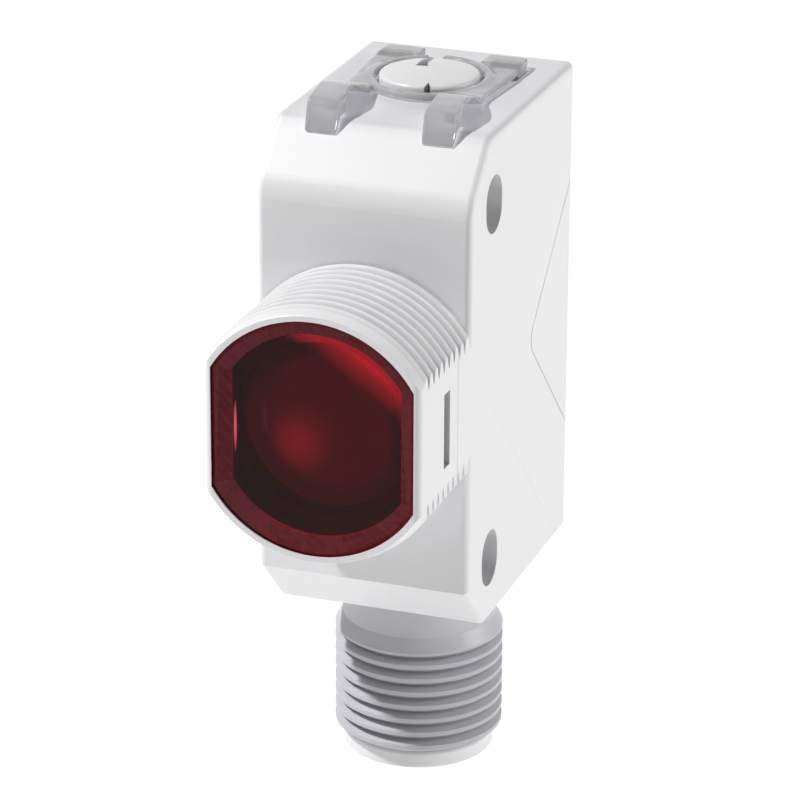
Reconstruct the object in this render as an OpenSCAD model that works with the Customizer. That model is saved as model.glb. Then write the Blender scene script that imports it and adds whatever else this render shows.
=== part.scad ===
// Through-beam photoelectric sensor: rectangular moulded housing with a flattened, threaded
// light nose, slotted side holes, an adjuster dial under a four-legged light guide, and a round
// threaded plug connector.
// Frame: the origin is where the optical axis meets the housing's front face. -Y is the way the
// light leaves, +Z is up and +X is the side that the photograph shows.

/* [Housing] */
// Width across the two side faces
housing_w = 15; // [14.8:0.1:16.5]
// Height from underside to top
housing_h = 35; // [34:0.5:38]
// Depth from front face to back
housing_d = 22.2; // [21.6:0.2:25]
// Height of the optical axis above the underside
axis_h = 17.6; // [17.2:0.1:18.2]
// Thickness of the side walls
side_wall = 1.3; // [1.2:0.05:1.4]
// Thickness of the front wall
front_wall = 1.6; // [1.4:0.1:1.9]
// Thickness of the top wall
top_wall = 1.8; // [1.7:0.1:2.1]
// Thickness of the bottom wall
bottom_wall = 1.7; // [1.6:0.1:1.9]
// Depth of the slope at the top of the front face
top_slope_d = 3.9; // [3.4:0.1:4.2]
// Height of the slope at the top of the front face
top_slope_h = 3.85; // [3.4:0.1:4.2]
// Depth of the slope at the bottom of the front face
bottom_slope_d = 3.85; // [3.4:0.1:4.2]
// Height of the slope at the bottom of the front face
bottom_slope_h = 3.75; // [3.4:0.1:4.2]
// Radius of the soft blend between front face and top slope
soft_blend_r = 2.5; // [1.5:0.1:3]
// Radius of the blend between top slope and top face
top_blend_r = 0.9; // [0.6:0.1:1.2]
// Radius of the back's top and bottom edges
back_edge_r = 0.6; // [0.5:0.05:0.8]
// Radius along the edges of the two side faces
side_edge_r = 0.45; // [0.3:0.05:0.5]

/* [Side holes] */
// Distance between the two slotted holes
hole_spacing = 25.4; // [25:0.1:25.6]
// Height of the lower hole above the underside
hole_low = 4.6; // [4.5:0.1:4.8]
// Distance of the holes behind the front face
hole_y = 4.7; // [4.5:0.1:4.9]
// Width of a hole, front to back
hole_w = 3.3; // [3.1:0.1:3.5]
// Length of a hole, top to bottom
hole_len = 4; // [3.8:0.1:4.2]
// Wall left round a hole, towards the inside
hole_wall = 1.5; // [1.3:0.1:1.6]

/* [Nose] */
// Length of the nose in front of the housing
nose_len = 9.7; // [9.6:0.1:11]
// Outside diameter of the thread on the nose
nose_thread_d = 17.8; // [17.6:0.05:18]
// Depth of the nose's thread ridges
nose_thread_depth = 0.45; // [0.35:0.05:0.55]
// Distance between two ridges of the nose's thread
nose_pitch = 1; // [0.9:0.05:1]
// Number of grooves on the nose
nose_grooves = 8; // [5:1:8]
// Distance from the front face to the nearest groove
first_groove = 1.12; // [0.9:0.01:1.2]
// Diameter of the nose's front edge
nose_lead_d = 17.1; // [17:0.05:17.3]
// Length of the lead-in behind the nose's front edge
nose_lead_len = 1.25; // [1:0.05:1.3]
// Distance across the two flats of the nose
flat_w = 14.92; // [14.8:0.02:14.96]
// Distance from the front face to the step that ends a flat
flat_step = 2.35; // [1.5:0.05:2.6]
// Radius of the front edge of a flat
flat_edge_r = 0.5; // [0.3:0.05:0.6]
// Depth of the latch window in a flat, front to back
latch_w = 1.15; // [1:0.05:1.4]
// Height of the latch window in a flat
latch_h = 5.2; // [4.5:0.1:6]
// How far the latch window's middle is below the optical axis
latch_drop = 0.15; // [0:0.05:0.3]
// How far the latches stay inside the flats
latch_inset = 0.4; // [0.3:0.05:0.6]
// Distance of the latch window's middle in front of the housing
latch_y = 4.48; // [4.3:0.01:4.7]

/* [Window] */
// Diameter of the window's round edges
window_d = 16.2; // [16:0.05:16.3]
// Width of the window across its straight edges
window_w = 13.92; // [13.8:0.02:14]
// Thickness of the window
window_t = 1.2; // [1:0.05:1.4]
// How far the window lies behind the nose's front
window_recess = 0.1; // [0.05:0.05:0.2]
// Bevel round the window's front
window_bevel = 0.2; // [0.1:0.05:0.3]
// Thickness of the seal behind the window
seal_t = 0.25; // [0.2:0.05:0.3]
// Gap between the window and its rebate
window_gap = 0.03; // [0.02:0.01:0.05]
// Width of the ledge behind the window
ledge_w = 1.1; // [0.9:0.05:1.2]
// Thickness of the ledge behind the window
ledge_t = 1; // [0.8:0.05:1.3]

/* [Optics] */
// Diameter of the lens
lens_d = 12; // [11.6:0.1:12.2]
// Thickness of the lens rim
lens_rim_t = 0.8; // [0.6:0.1:1]
// Radius of the curved face of the lens
lens_curve_r = 9.2; // [8.8:0.1:10]
// Gap from the lens to the back of the window
lens_gap = 0.35; // [0.3:0.05:0.6]
// Outside diameter of the lens holder
holder_d = 13.2; // [13.1:0.02:13.24]
// Wall of the lens holder
holder_wall = 0.9; // [0.7:0.05:1]
// Length of the lens holder behind the front wall
holder_rear = 3.4; // [3:0.1:3.8]
// Gap between the lens holder and its bore
holder_gap = 0.04; // [0.02:0.01:0.05]
// Width of the light-emitting diode
emitter_w = 3; // [2.6:0.1:3.4]
// Thickness of the light-emitting diode's base
emitter_t = 0.9; // [0.7:0.1:1.1]
// Radius of the light-emitting diode's dome
emitter_dome_r = 1.1; // [0.9:0.1:1.2]

/* [Rear cover] */
// Thickness of the rear cover
cover_t = 1.3; // [1.2:0.05:1.5]
// Width of the ledge that the rear cover rests on
cover_ledge = 0.6; // [0.5:0.05:0.7]
// Distance of the cheek's sharp point behind the front face
cheek_y = 12.8; // [12.4:0.1:13.4]
// Height of the cheek's point relative to the optical axis
cheek_z = -0.25; // [-0.5:0.05:0.5]
// Radius of the cheek's point
cheek_r = 1.4; // [1:0.1:1.8]
// Width of the seam round the rear cover
seam = 0.08; // [0.05:0.01:0.12]

/* [Adjuster] */
// Distance of the adjuster's axis behind the front face
dial_y = 13.2; // [13:0.1:13.6]
// Diameter of the dial
dial_d = 6.9; // [6.7:0.05:7]
// Height of the dial's rim above the top face
dial_rise = 0.85; // [0.6:0.05:1]
// Height of the dial's dome above its rim
dome_h = 0.5; // [0.3:0.05:0.6]
// Radius of the dial's rim
dial_edge_r = 0.3; // [0.2:0.05:0.4]
// Thickness of the dial below its rim
dial_t = 1.75; // [1.6:0.05:1.85]
// Width of the dial's slot
slot_w = 0.87; // [0.7:0.01:1]
// Depth of the slot and of the pointed notch below the rim
notch_depth = 0.5; // [0.3:0.05:0.6]
// Length of the pointed notch from the rim inwards
notch_len = 0.75; // [0.6:0.05:1]
// Width of the pointed notch at the rim
point_notch_w = 0.6; // [0.4:0.05:0.8]
// Diameter of the dial's shaft
shaft_d = 3; // [2.8:0.1:3.2]
// Running clearance of the shaft, each side
shaft_gap = 0.05; // [0.03:0.01:0.08]
// Gap between the dial and the well round it
well_gap = 0.3; // [0.25:0.05:0.35]
// Thickness of the shaft's seal ring
oring_t = 0.75; // [0.6:0.05:0.8]
// Length of the boss that guides the shaft
boss_len = 2; // [1.8:0.1:2.2]

/* [Light guide] */
// Width of a leg
leg_w = 2.3; // [2:0.05:2.4]
// Distance of a leg's middle from the middle plane
leg_x = 4.1; // [4.05:0.01:4.15]
// Thickness of the ring in front, and of the arms
guide_t = 0.45; // [0.4:0.05:0.6]
// Height of the ring above the top face
guide_lift = 0.17; // [0.06:0.01:0.3]
// Radial width of the ring
ring_w = 0.6; // [0.5:0.05:0.7]
// How much higher the ring is at its back than in front
ring_slope = 0.3; // [0.1:0.05:0.4]
// Distance of the front legs' toes behind the front face
toe_y = 2.87; // [2.7:0.01:3]
// Height of the front legs' arches above the top face
arch_rise = 1.72; // [1.5:0.02:1.9]
// Height of the openings under the arches
arch_clear = 1.32; // [1.1:0.02:1.4]
// Distance of the openings behind the front face
arch_y = 4.9; // [4.7:0.05:5.1]
// Distance of the rear legs' backs from the housing's back
rear_leg_back = 3.8; // [3.6:0.1:4.2]
// Depth of a rear leg, front to back
rear_leg_d = 1.5; // [1.3:0.05:1.6]
// Height of the rear legs' heads above the top face
head_rise = 0.8; // [0.7:0.05:0.95]
// Length of the holes for the rear legs
leg_hole_len = 2.55; // [2.4:0.05:2.7]
// Gap between a rear leg and its hole
leg_gap = 0.05; // [0.03:0.01:0.08]

/* [Boards] */
// Thickness of the circuit boards
board_t = 0.8; // [0.6:0.05:1]
// Gap between the boards and the side walls
board_gap = 0.25; // [0.15:0.05:0.4]
// Distance from the top board down to the top wall
top_board_drop = 5.6; // [5.4:0.1:6]
// Gap between the main board and the rear cover
main_board_gap = 0.5; // [0.4:0.05:0.7]
// Side length of the potentiometer
pot_w = 5.2; // [4.8:0.1:5.4]
// Height of the potentiometer
pot_h = 2.1; // [1.9:0.1:2.2]
// Width of an indicator diode
indicator_w = 1.6; // [1.4:0.1:1.8]
// Height of an indicator diode
indicator_t = 0.7; // [0.6:0.05:0.9]
// Side length of the control chip
control_chip_w = 5; // [4:0.5:6]
// Side length of the driver chip
driver_chip_w = 4; // [3:0.5:5]
// Thickness of the chips
chip_t = 1.1; // [0.9:0.05:1.4]
// Length of a capacitor
capacitor_len = 1.6; // [1.2:0.1:2]
// Distance between two capacitors
capacitor_pitch = 2.4; // [2.1:0.1:2.8]

/* [Connector] */
// Distance of the connector's axis behind the front face
plug_y = 11.8; // [11.6:0.1:12.2]
// Diameter of the neck below the housing
neck_d = 10.86; // [10.8:0.02:11]
// Length of the neck below the housing
neck_len = 3.25; // [3:0.05:3.6]
// Outside diameter of the connector's thread
plug_thread_d = 11.9; // [11.8:0.02:11.96]
// Depth of the connector's thread ridges
plug_thread_depth = 0.55; // [0.45:0.05:0.6]
// Distance between two ridges of the connector's thread
plug_pitch = 1.037; // [0.95:0.001:1.05]
// Number of ridges on the connector
plug_ridges = 8; // [5:1:8]
// Height of the slope above the thread
plug_shoulder_h = 0.9; // [0.7:0.05:1]
// Diameter of the collar at the end
collar_d = 10.68; // [10.6:0.02:10.8]
// Length of the collar
collar_len = 1.33; // [1:0.01:1.4]
// Inside diameter of the connector's shell
socket_d = 8.6; // [8.4:0.05:8.8]
// Depth of the socket from its mouth
socket_depth = 8.2; // [7.8:0.1:8.6]
// Distance of a contact pin from the connector's axis
pin_circle_r = 2.7; // [2.65:0.01:2.75]
// Diameter of a contact pin
pin_d = 1; // [0.9:0.05:1.1]
// How far the pins stay behind the mouth
pin_recess = 1.2; // [1:0.1:1.6]
// Width of the coding key in the socket
key_w = 1; // [0.8:0.05:1.2]
// Diameter of the plug's shoulder inside the bottom wall
shoulder_d = 12; // [11.9:0.02:12.1]
// Thickness of the flange inside the housing
flange_t = 1; // [0.9:0.05:1.1]

/* [Hidden] */
$fn = 96;
e = 0.02; // overlap of cutting shapes
reach = 20; // length of a cut that goes right through
tiny = 0.05;
half_w = housing_w / 2;
z_bottom = -axis_h;
z_top = housing_h - axis_h;
cavity_half_w = half_w - side_wall;
cavity_bottom = z_bottom + bottom_wall;
cavity_top = z_top - top_wall;
hole_z_low = z_bottom + hole_low;
hole_z_high = hole_z_low + hole_spacing;
front_cavity_end = hole_y + hole_w / 2 + hole_wall;
front_cavity_low = hole_z_low + hole_len / 2 + hole_wall;
front_cavity_high = hole_z_high - hole_len / 2 - hole_wall;
thread_flank = tan(30);
thread_root = 0.05; // half the width of a groove's floor

// Corners of the housing seen from its side, as [y, z], and the radius of each
side_corners = [
    [bottom_slope_d, z_bottom], [housing_d, z_bottom], [housing_d, z_top],
    [top_slope_d, z_top], [0, z_top - top_slope_h], [0, z_bottom + bottom_slope_h]
];
side_radii = [0, back_edge_r, back_edge_r, top_blend_r, soft_blend_r, 0];

// A blend's circle is this much larger than the tangent one, so that it crosses the faces
// beside it instead of only touching them
blend_extra = 0.001;
edge_extra = 0.001;
bend_extra = 0.003;
lap = 0.01;

function unit(v) = v / norm(v);
function wrap(list, i) = list[(i + len(list)) % len(list)];
function half_corner(a, p, b) = acos(unit(a - p) * unit(b - p)) / 2;
function tangent_len(a, p, b, r) = r / tan(half_corner(a, p, b));
function round_centre(a, p, b, r) =
    p + unit(unit(a - p) + unit(b - p)) * r / sin(half_corner(a, p, b));

// What a blend of radius r takes off the corner p between its neighbours a and b
module corner_waste(a, p, b, r) {
    c = round_centre(a, p, b, r);
    t = tangent_len(a, p, b, r);
    ta = p + unit(a - p) * t;
    tb = p + unit(b - p) * t;
    difference() {
        polygon([c, ta + unit(ta - c) * 0.3, p + unit(p - c) * 0.6, tb + unit(tb - c) * 0.3]);
        translate(c) circle(r + blend_extra);
    }
}

// A convex outline with true arcs at its corners
module rounded_outline(corners, radii) {
    difference() {
        polygon(corners);
        for (i = [0:len(corners) - 1]) if (radii[i] > 0)
            corner_waste(wrap(corners, i - 1), corners[i], wrap(corners, i + 1), radii[i]);
    }
}

// A flat [x, z] outline carried along Y from y0 to y1
module along_y(y0, y1) {
    translate([0, y1, 0]) rotate([90, 0, 0]) linear_extrude(y1 - y0) children();
}

// A flat [y, z] outline carried along X from x0 to x1
module along_x(x0, x1) {
    translate([x0, 0, 0]) rotate([90, 0, 90]) linear_extrude(x1 - x0) children();
}

module along_z(z0, z1) {
    translate([0, 0, z0]) linear_extrude(z1 - z0) children();
}

module box(low, high) {
    translate(low) cube(high - low);
}

// What is cut off a straight edge of a side face to round it
module edge_cut(p, q) {
    length = norm(q - p);
    translate([half_w, p[0], p[1]])
        rotate([atan2(q[1] - p[1], q[0] - p[0]), 0, 0])
            translate([0, length, 0]) rotate([90, 0, 0]) linear_extrude(length)
                corner_cut(side_edge_r);
}

module corner_cut(r) {
    difference() {
        translate([-r, -e]) square([r + e, r + e]);
        translate([-r, r]) circle(r + edge_extra);
    }
}

// The same for the curved stretch of an edge, round a corner of radius r
module bend_cut(centre, r, start, sweep) {
    translate([half_w, centre[0], centre[1]])
        rotate([90, 0, 90]) rotate([0, 0, start]) rotate_extrude(angle = sweep)
            difference() {
                translate([r - side_edge_r, -side_edge_r]) square(side_edge_r + e);
                translate([r - side_edge_r, -side_edge_r]) circle(side_edge_r + bend_extra);
            }
}

function straight_end(a, p, b, r) = (r > 0 ? tangent_len(a, p, b, r) : 0) - lap;

module side_edge_cuts() {
    for (i = [0:len(side_corners) - 1]) {
        a = wrap(side_corners, i - 1);
        p = side_corners[i];
        b = wrap(side_corners, i + 1);
        c = wrap(side_corners, i + 2);
        r = side_radii[i];
        edge_cut(
            p + unit(b - p) * straight_end(a, p, b, r),
            b + unit(p - b) * straight_end(p, b, c, wrap(side_radii, i + 1))
        );
        if (r > 0) bend_cut(
            round_centre(a, p, b, r), r, atan2(p[1] - a[1], p[0] - a[0]) - 90,
            180 - 2 * half_corner(a, p, b)
        );
    }
}

module housing_block() {
    difference() {
        along_x(-half_w, half_w) rounded_outline(side_corners, side_radii);
        side_edge_cuts();
        mirror([1, 0, 0]) side_edge_cuts();
    }
}

// Outline of a ridged cylinder as [radius, distance], grooves at start + k * pitch
function ridge_points(r, depth, start, pitch, count) = [
    for (k = [0:count - 1])
        let (h = start + k * pitch, w = depth * thread_flank + thread_root)
            each [[r, h - w], [r - depth, h - thread_root], [r - depth, h + thread_root], [r, h + w]]
];

module nose_outline() {
    r = nose_thread_d / 2;
    root = r - nose_thread_depth;
    runout = nose_thread_depth * thread_flank;
    polygon(concat(
        [[0, -front_wall / 2], [root, -front_wall / 2], [root, tiny], [r, tiny + runout]],
        ridge_points(r, nose_thread_depth, first_groove, nose_pitch, nose_grooves),
        [[r, nose_len - nose_lead_len], [nose_lead_d / 2, nose_len - tiny],
         [nose_lead_d / 2 - tiny, nose_len], [0, nose_len]]
    ));
}

// Plan of the two flats, each ending in a small step up to the side face
module flats_plan() {
    f = flat_w / 2;
    polygon([
        [-half_w, front_wall / 2], [-half_w, half_w - f - flat_step], [-f, -flat_step],
        [-f, flat_edge_r - nose_len], [flat_edge_r - f, -nose_len], [f - flat_edge_r, -nose_len],
        [f, flat_edge_r - nose_len], [f, -flat_step], [half_w, half_w - f - flat_step],
        [half_w, front_wall / 2]
    ]);
    for (s = [-1, 1]) translate([s * (f - flat_edge_r), flat_edge_r - nose_len])
        circle(flat_edge_r);
}

module nose() {
    intersection() {
        rotate([90, 0, 0]) rotate_extrude() nose_outline();
        along_z(-nose_thread_d, nose_thread_d) flats_plan();
    }
}

// A circle of diameter d with both sides cut straight at width w
module flattened_circle(d, w) {
    intersection() {
        circle(d = d);
        square([w, d + 1], center = true);
    }
}

window_front = -nose_len + window_recess;
window_back = window_front + window_t;
seat_y = window_back + seal_t;
bore_d = holder_d + 2 * holder_gap;
pocket_d = window_d - 2 * ledge_w;
pocket_w = window_w - 2 * ledge_w;
holder_front = seat_y + ledge_t;

module slotted_hole_plan(w, len) {
    translate([hole_y, 0]) {
        square([w, len - w], center = true);
        for (s = [-1, 1]) translate([0, s * (len - w) / 2]) circle(d = w);
    }
}

module cavity() {
    box([-cavity_half_w, front_cavity_end, cavity_bottom],
        [cavity_half_w, housing_d + e, cavity_top]);
    box([-cavity_half_w, front_wall, front_cavity_low],
        [cavity_half_w, front_cavity_end + e, front_cavity_high]);
    box([-cavity_half_w - cover_ledge, housing_d - cover_t, cavity_bottom - cover_ledge],
        [cavity_half_w + cover_ledge, housing_d + e, cavity_top + cover_ledge]);
}

// Side view of a cheek: a right angle with a rounded point, open to the back
module cheek_plan(grow, back) {
    shift = grow * sqrt(2);
    reach = back - cheek_y + shift;
    translate([cheek_y - shift, cheek_z])
        rounded_outline([[0, 0], [reach, -reach], [reach, reach]], [cheek_r, 0, 0]);
}

dial_top = z_top + dial_rise;
rear_leg_y = housing_d - rear_leg_back;
leg_hole_y = rear_leg_y + leg_gap - leg_hole_len;
dial_bottom = dial_top - dial_t;
well_d = dial_d + 2 * well_gap;
well_floor = dial_bottom - 0.3;
shaft_bore_d = shaft_d + 2 * shaft_gap;
gland_d = shaft_bore_d + 2 * oring_t + 0.1;
gland_floor = well_floor - oring_t - 0.1;
boss_bottom = well_floor - boss_len - 0.6;
boss_d = gland_d + 1.6;

module leg_holes() {
    for (s = [-1, 1])
        box([s * leg_x - leg_w / 2 - leg_gap, leg_hole_y, cavity_top - 1],
            [s * leg_x + leg_w / 2 + leg_gap, rear_leg_y + leg_gap, z_top + 1]);
}

// Moulded housing with its nose
module housing() {
    color("whitesmoke") difference() {
        union() {
            difference() {
                housing_block();
                cavity();
            }
            nose();
            translate([0, dial_y, boss_bottom]) cylinder(d = boss_d, h = cavity_top - boss_bottom + e);
        }
        for (z = [hole_z_low, hole_z_high]) translate([0, 0, z])
            along_x(-half_w - 1, half_w + 1) slotted_hole_plan(hole_w, hole_len);
        along_y(-nose_len - 1, seat_y) flattened_circle(window_d + 2 * window_gap, window_w + 2 * window_gap);
        along_y(seat_y - e, holder_front + e) flattened_circle(pocket_d, pocket_w);
        along_y(holder_front, front_wall + e) circle(d = bore_d);
        box([-half_w - 1, -latch_y - latch_w / 2, -latch_drop - latch_h / 2],
            [half_w + 1, -latch_y + latch_w / 2, latch_h / 2 - latch_drop]);
        along_x(-half_w - 1, half_w + 1) cheek_plan(seam, housing_d + 1);
        translate([0, dial_y, 0]) {
            translate([0, 0, well_floor]) cylinder(d = well_d, h = z_top - well_floor + 1);
            translate([0, 0, gland_floor]) cylinder(d = gland_d, h = z_top - gland_floor);
            translate([0, 0, boss_bottom - 1]) cylinder(d = shaft_bore_d, h = z_top - boss_bottom);
        }
        leg_holes();
        translate([0, plug_y, z_bottom - 1])
            cylinder(d = shoulder_d + 2 * tiny, h = bottom_wall + 2);
    }
}

// Rear cover with a pointed cheek in each side wall
module rear_cover() {
    color("whitesmoke") intersection() {
        housing_block();
        union() {
            box([seam - cavity_half_w - cover_ledge, housing_d - cover_t, cavity_bottom - cover_ledge + seam],
                [cavity_half_w + cover_ledge - seam, housing_d + 1, cavity_top + cover_ledge - seam]);
            for (s = [-1, 1]) translate([s * (half_w - side_wall / 2), 0, 0])
                along_x(-side_wall / 2, side_wall / 2) cheek_plan(0, housing_d);
        }
    }
}

module window() {
    color("darkred") {
        along_y(window_front + window_bevel, window_back) flattened_circle(window_d, window_w);
        intersection() {
            translate([0, window_front + window_bevel, 0]) rotate([90, 0, 0])
                cylinder(d1 = window_d, d2 = window_d - 2 * window_bevel, h = window_bevel);
            along_z(-window_d, window_d) polygon([
                [-window_w / 2, window_front + window_bevel], [window_bevel - window_w / 2, window_front],
                [window_w / 2 - window_bevel, window_front], [window_w / 2, window_front + window_bevel]
            ]);
        }
    }
}

module window_seal() {
    color("white") difference() {
        along_y(window_back, seat_y) flattened_circle(window_d, window_w);
        along_y(window_back - 1, seat_y + 1) flattened_circle(pocket_d, pocket_w);
    }
}

lens_front = window_back + lens_gap;
lens_cap_h = lens_curve_r - sqrt(pow(lens_curve_r, 2) - pow(lens_d / 2, 2));
lens_rim_front = lens_front + lens_cap_h;
lens_back = lens_rim_front + lens_rim_t;

// Lens with its curved face towards the window
module lens() {
    color("lightblue") intersection() {
        along_y(lens_front - 1, lens_back) circle(d = lens_d);
        translate([0, lens_front + lens_curve_r, 0]) sphere(lens_curve_r);
    }
}

holder_back = front_wall + holder_rear;
latch_reach = flat_w / 2 - latch_inset;

// Dark tube that holds the lens, latched in the flats and seated on the front wall
module lens_holder() {
    inner_d = holder_d - 2 * holder_wall;
    color("#26262a") {
        difference() {
            union() {
                along_y(holder_front, front_wall + e) circle(d = holder_d);
                along_y(front_wall, holder_back) flattened_circle(holder_d, 2 * board_half_w);
                along_y(front_wall, front_wall + 1)
                    square([2 * board_half_w, 2 * 7.6], center = true);
                box([-latch_reach, tiny - latch_y - latch_w / 2, tiny - latch_drop - latch_h / 2],
                    [latch_reach, -latch_y + latch_w / 2 - tiny, latch_h / 2 - latch_drop - tiny]);
            }
            along_y(holder_front - 1, lens_back) circle(d = lens_d + 0.02);
            translate([0, holder_back, 0]) rotate([90, 0, 0])
                cylinder(d1 = emitter_w * 2, d2 = inner_d, h = holder_back - lens_back + e);
            along_y(holder_back - 1, holder_back + 1) circle(d = emitter_w * 2);
        }
    }
}

// Light-emitting diode with a clear dome on its base
module emitter_diode() {
    color("crimson") {
        along_y(holder_back - emitter_t, holder_back) square(emitter_w, center = true);
        translate([0, holder_back - emitter_t, 0]) intersection() {
            sphere(emitter_dome_r);
            translate([-reach / 2, e - reach, -reach / 2]) cube(reach);
        }
    }
}

emitter_board_back = holder_back + board_t;

module emitter_board() {
    color("darkgreen") along_y(holder_back, emitter_board_back)
        flattened_circle(holder_d + 1.6, 2 * (cavity_half_w - board_gap));
}

main_board_back = housing_d - cover_t - main_board_gap;
main_board_front = main_board_back - board_t;
top_board_top = cavity_top - top_board_drop;
board_half_w = cavity_half_w - board_gap;
plug_board_low = cavity_bottom + flange_t + 2.2;

module main_board() {
    color("darkgreen")
        box([-board_half_w, main_board_front, plug_board_low - 0.4],
            [board_half_w, main_board_back, top_board_top + 1.5]);
}

module top_board() {
    color("darkgreen")
        box([-board_half_w, front_cavity_end + 0.3, top_board_top - board_t],
            [board_half_w, main_board_front, top_board_top]);
}

pot_top = top_board_top + pot_h;
rotor_d = 3.6;
rotor_rise = 0.3;

module potentiometer() {
    color("royalblue") difference() {
        translate([-pot_w / 2, dial_y - pot_w / 2, top_board_top]) cube([pot_w, pot_w, pot_h]);
        translate([0, dial_y, top_board_top + 0.6]) cylinder(d = rotor_d + 0.1, h = pot_h);
    }
}

blade_w = 0.8;
blade_d = 2.6;

// Turning disc of the potentiometer, driven by the dial's blade
module potentiometer_rotor() {
    color("ivory") difference() {
        translate([0, dial_y, top_board_top + 0.65])
            cylinder(d = rotor_d, h = pot_top + rotor_rise - top_board_top - 0.65);
        translate([-blade_w / 2, dial_y - reach / 2, pot_top - 0.7]) cube([blade_w, reach, pot_h]);
    }
}

dome_r = (pow(dial_d / 2, 2) + pow(dome_h, 2)) / (2 * dome_h);
dome_centre = dial_top + dome_h - dome_r;

// What the round rim takes off the dial, as [radius, height]
module rim_waste() {
    r = dial_d / 2 - dial_edge_r;
    c = [r, dome_centre + sqrt(pow(dome_r - dial_edge_r, 2) - pow(r, 2))];
    out = unit(c - [0, dome_centre]) * (dial_edge_r + 0.4);
    difference() {
        polygon([c, c + [dial_edge_r + 0.2, 0], c + [dial_edge_r + 0.2, dial_edge_r + 0.4], c + out]);
        translate(c) circle(dial_edge_r + blend_extra);
    }
}

slot_turn = 5; // the dial stands turned by this at rest
slot_x = -0.52; // the slot runs beside the dial's axis
notch_x = 1.05;

module dial_notches() {
    r = dial_d / 2;
    translate([0, 0, dial_top - notch_depth]) {
        translate([slot_x, -0.2, 0]) rotate(slot_turn) translate([-slot_w / 2, 0, 0])
            cube([slot_w, reach, reach]);
        linear_extrude(reach) polygon([
            [notch_x - point_notch_w * 0.6, -r - tiny], [notch_x + point_notch_w * 0.6, -r - tiny],
            [notch_x - point_notch_w * 0.3, notch_len - r]
        ]);
    }
}

// Domed dial with a slot and a pointed notch, a shaft, a snap lip and a drive blade
module adjuster_dial() {
    lip_z = boss_bottom - tiny;
    blade_bottom = pot_top - 0.7;
    color("lightgray") translate([0, dial_y, 0]) {
        difference() {
            intersection() {
                translate([0, 0, dial_bottom]) cylinder(d = dial_d, h = dial_t + dome_h + 1);
                translate([0, 0, dome_centre]) rotate([90, 0, 0]) sphere(dome_r);
            }
            rotate_extrude() rim_waste();
            dial_notches();
        }
        translate([0, 0, lip_z - 0.5]) cylinder(d = shaft_d, h = dial_bottom - lip_z + 0.6);
        translate([0, 0, lip_z - 0.5]) cylinder(d1 = shaft_d, d2 = shaft_d + 0.5, h = 0.5);
        intersection() {
            translate([-blade_w / 2 + 0.02, -reach / 2, blade_bottom])
                cube([blade_w - 0.04, reach, lip_z - 0.4 - blade_bottom]);
            translate([0, 0, blade_bottom]) cylinder(d = blade_d, h = reach);
        }
    }
}

module adjuster_seal() {
    color("#222222") translate([0, dial_y, gland_floor + oring_t / 2])
        rotate_extrude() translate([shaft_bore_d / 2 + oring_t / 2, 0]) circle(d = oring_t);
}

ring_in = well_d / 2;
ring_out = ring_in + ring_w;
guide_low = z_top + guide_lift;
guide_high = guide_low + guide_t;
leg_in = leg_x - leg_w / 2;
leg_out = leg_x + leg_w / 2;
ring_slot_x = -1.39;
ring_slot_w = 0.93;
leg_end = dial_y - ring_out + 2.2;

function slope_z(y) = z_top - (top_slope_d - y) * top_slope_h / top_slope_d;

// Side view of a front leg: a toe on the slope, then an arch down to the ring
module front_leg_plan() {
    difference() {
        rounded_outline(
            [[toe_y + 0.08, slope_z(toe_y + 0.08) + 0.01], [toe_y, slope_z(toe_y) + 0.25],
             [toe_y + 0.6, z_top + arch_rise - 0.38], [arch_y + 1.2, z_top + arch_rise + 0.06],
             [leg_end - 1.2, guide_high], [leg_end, guide_high], [leg_end, guide_low],
             [arch_y + 2, z_top + tiny], [top_slope_d, z_top + tiny]],
            [0, 0, 0.75, 1.6, 0, 0, 0, 0, 0]
        );
        rounded_outline(
            [[arch_y, z_top - 1], [arch_y, z_top + arch_clear + 0.04],
             [arch_y + 2, z_top + arch_clear + 0.04], [leg_end - 1.6, guide_low], [leg_end - 1.6, z_top - 1]],
            [0, 0.7, 0.9, 0, 0]
        );
    }
}

// Plan of a front leg, narrower where it meets the ring
module front_leg_width() {
    polygon([
        [leg_in, toe_y - 1], [leg_out, toe_y - 1], [leg_out, arch_y + 2.5], [leg_out - 0.35, leg_end - 1.2],
        [leg_out - 0.45, leg_end + 1], [ring_in + 0.1, leg_end + 1], [leg_in, leg_end - 0.7]
    ]);
}

// Plan of the arm from the ring's side back to a rear leg
module side_arm_plan() {
    polygon([
        [ring_in + 0.1, leg_end - 0.4], [leg_out - 0.4, leg_end - 0.4], [leg_out - 0.15, dial_y + 0.6],
        [leg_out, dial_y + 2.5], [leg_out, rear_leg_y], [leg_in, rear_leg_y], [leg_in, rear_leg_y - rear_leg_d],
        [leg_x, rear_leg_y - 2 * rear_leg_d], [ring_in + 0.1, dial_y + 0.6]
    ]);
}

// Ring round the dial, rising towards its back, where a slot divides it
module guide_ring() {
    difference() {
        translate([0, dial_y, guide_low]) cylinder(r = ring_out, h = reach);
        translate([0, dial_y, guide_low - 1]) cylinder(r = ring_in, h = reach + 2);
        translate([0, dial_y - ring_out, guide_high])
            rotate([atan(ring_slope / (2 * ring_out)), 0, 0]) translate([-reach / 2, -reach / 4, 0])
                cube([reach, reach, 2 * reach]);
        translate([ring_slot_x, dial_y + ring_in - 1, guide_low - 1]) cube([ring_slot_w, ring_w + 2, reach]);
    }
}

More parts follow.
